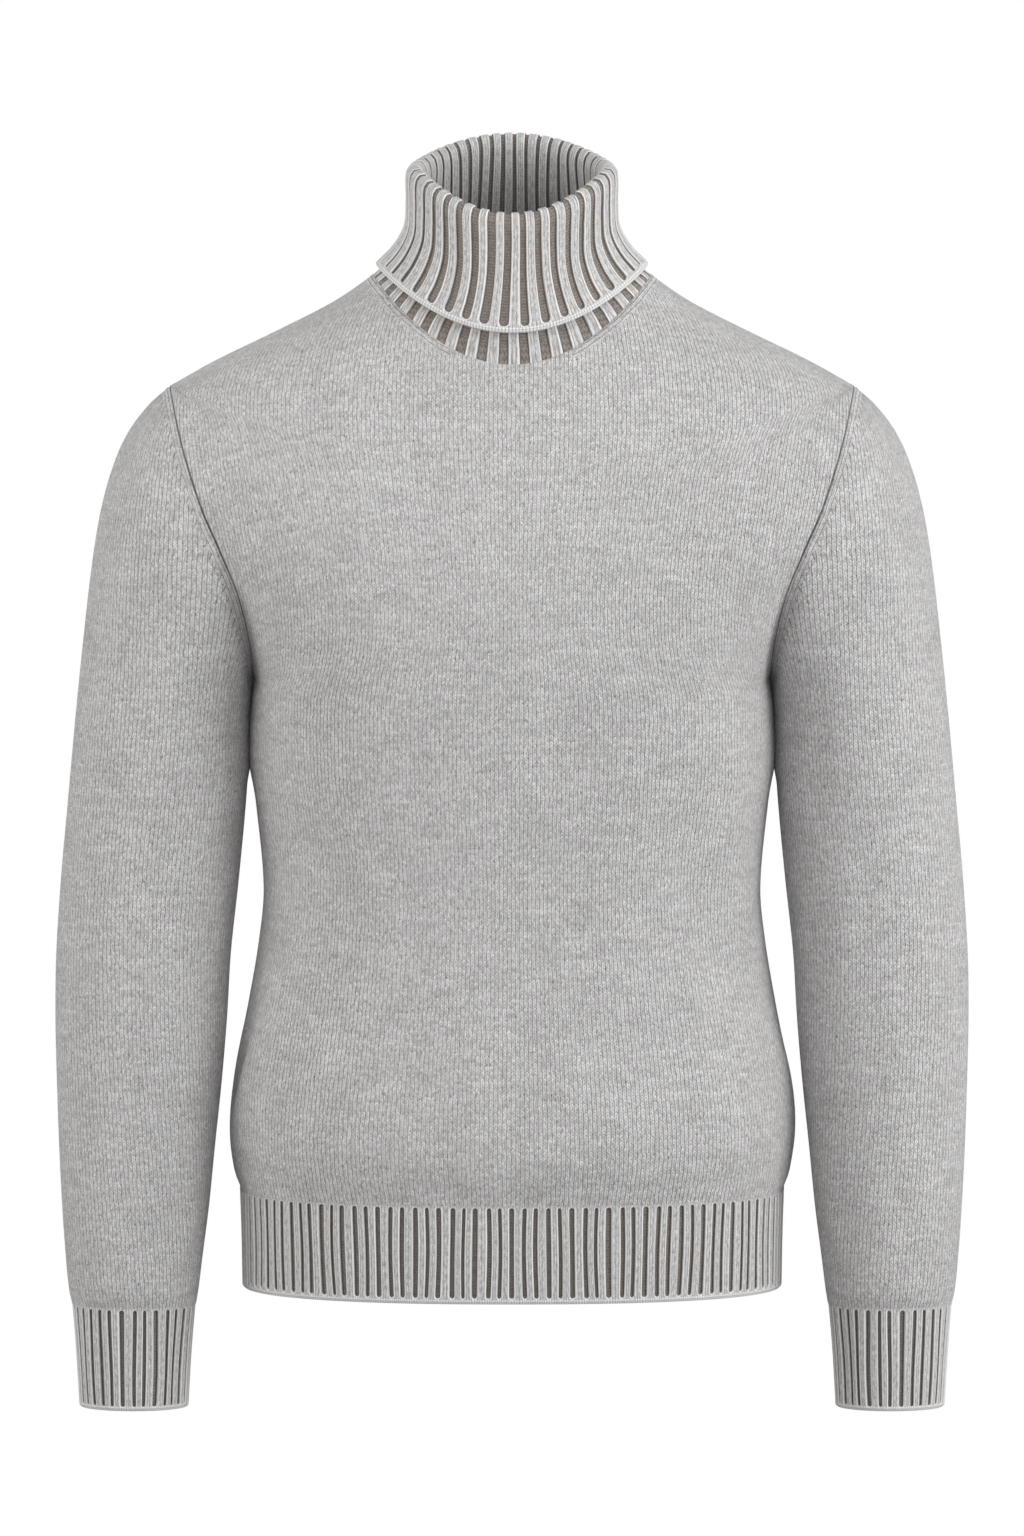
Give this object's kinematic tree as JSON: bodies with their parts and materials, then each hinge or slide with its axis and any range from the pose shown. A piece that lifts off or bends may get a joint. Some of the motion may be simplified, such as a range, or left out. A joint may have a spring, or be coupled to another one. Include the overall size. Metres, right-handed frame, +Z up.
{
  "type": "turtleneck sweater",
  "caption": "Plain knitted turtleneck sweater in its hollow worn form, with a folded rib collar, rib hem and rib cuffs.",
  "frame": {"origin": "middle of the neck base, level with the points where the shoulder seams meet the collar", "axes": "+Z up, the front of the garment faces -Y, and the wearer's left arm hangs at +X"},
  "size_m": [0.603, 0.2484, 0.8353],
  "materials": {
    "plain_knit": "matt light grey melange plain knit",
    "rib_knit": "matt light grey melange rib knit"
  },
  "bodies": {
    "root": {"front_panel": "plain_knit", "back_panel": "plain_knit", "left_sleeve": "plain_knit", "right_sleeve": "plain_knit", "front_hem_rib": "rib_knit", "back_hem_rib": "rib_knit", "left_cuff_rib": "rib_knit", "right_cuff_rib": "rib_knit", "collar": "rib_knit"}
  },
  "joints": []
}
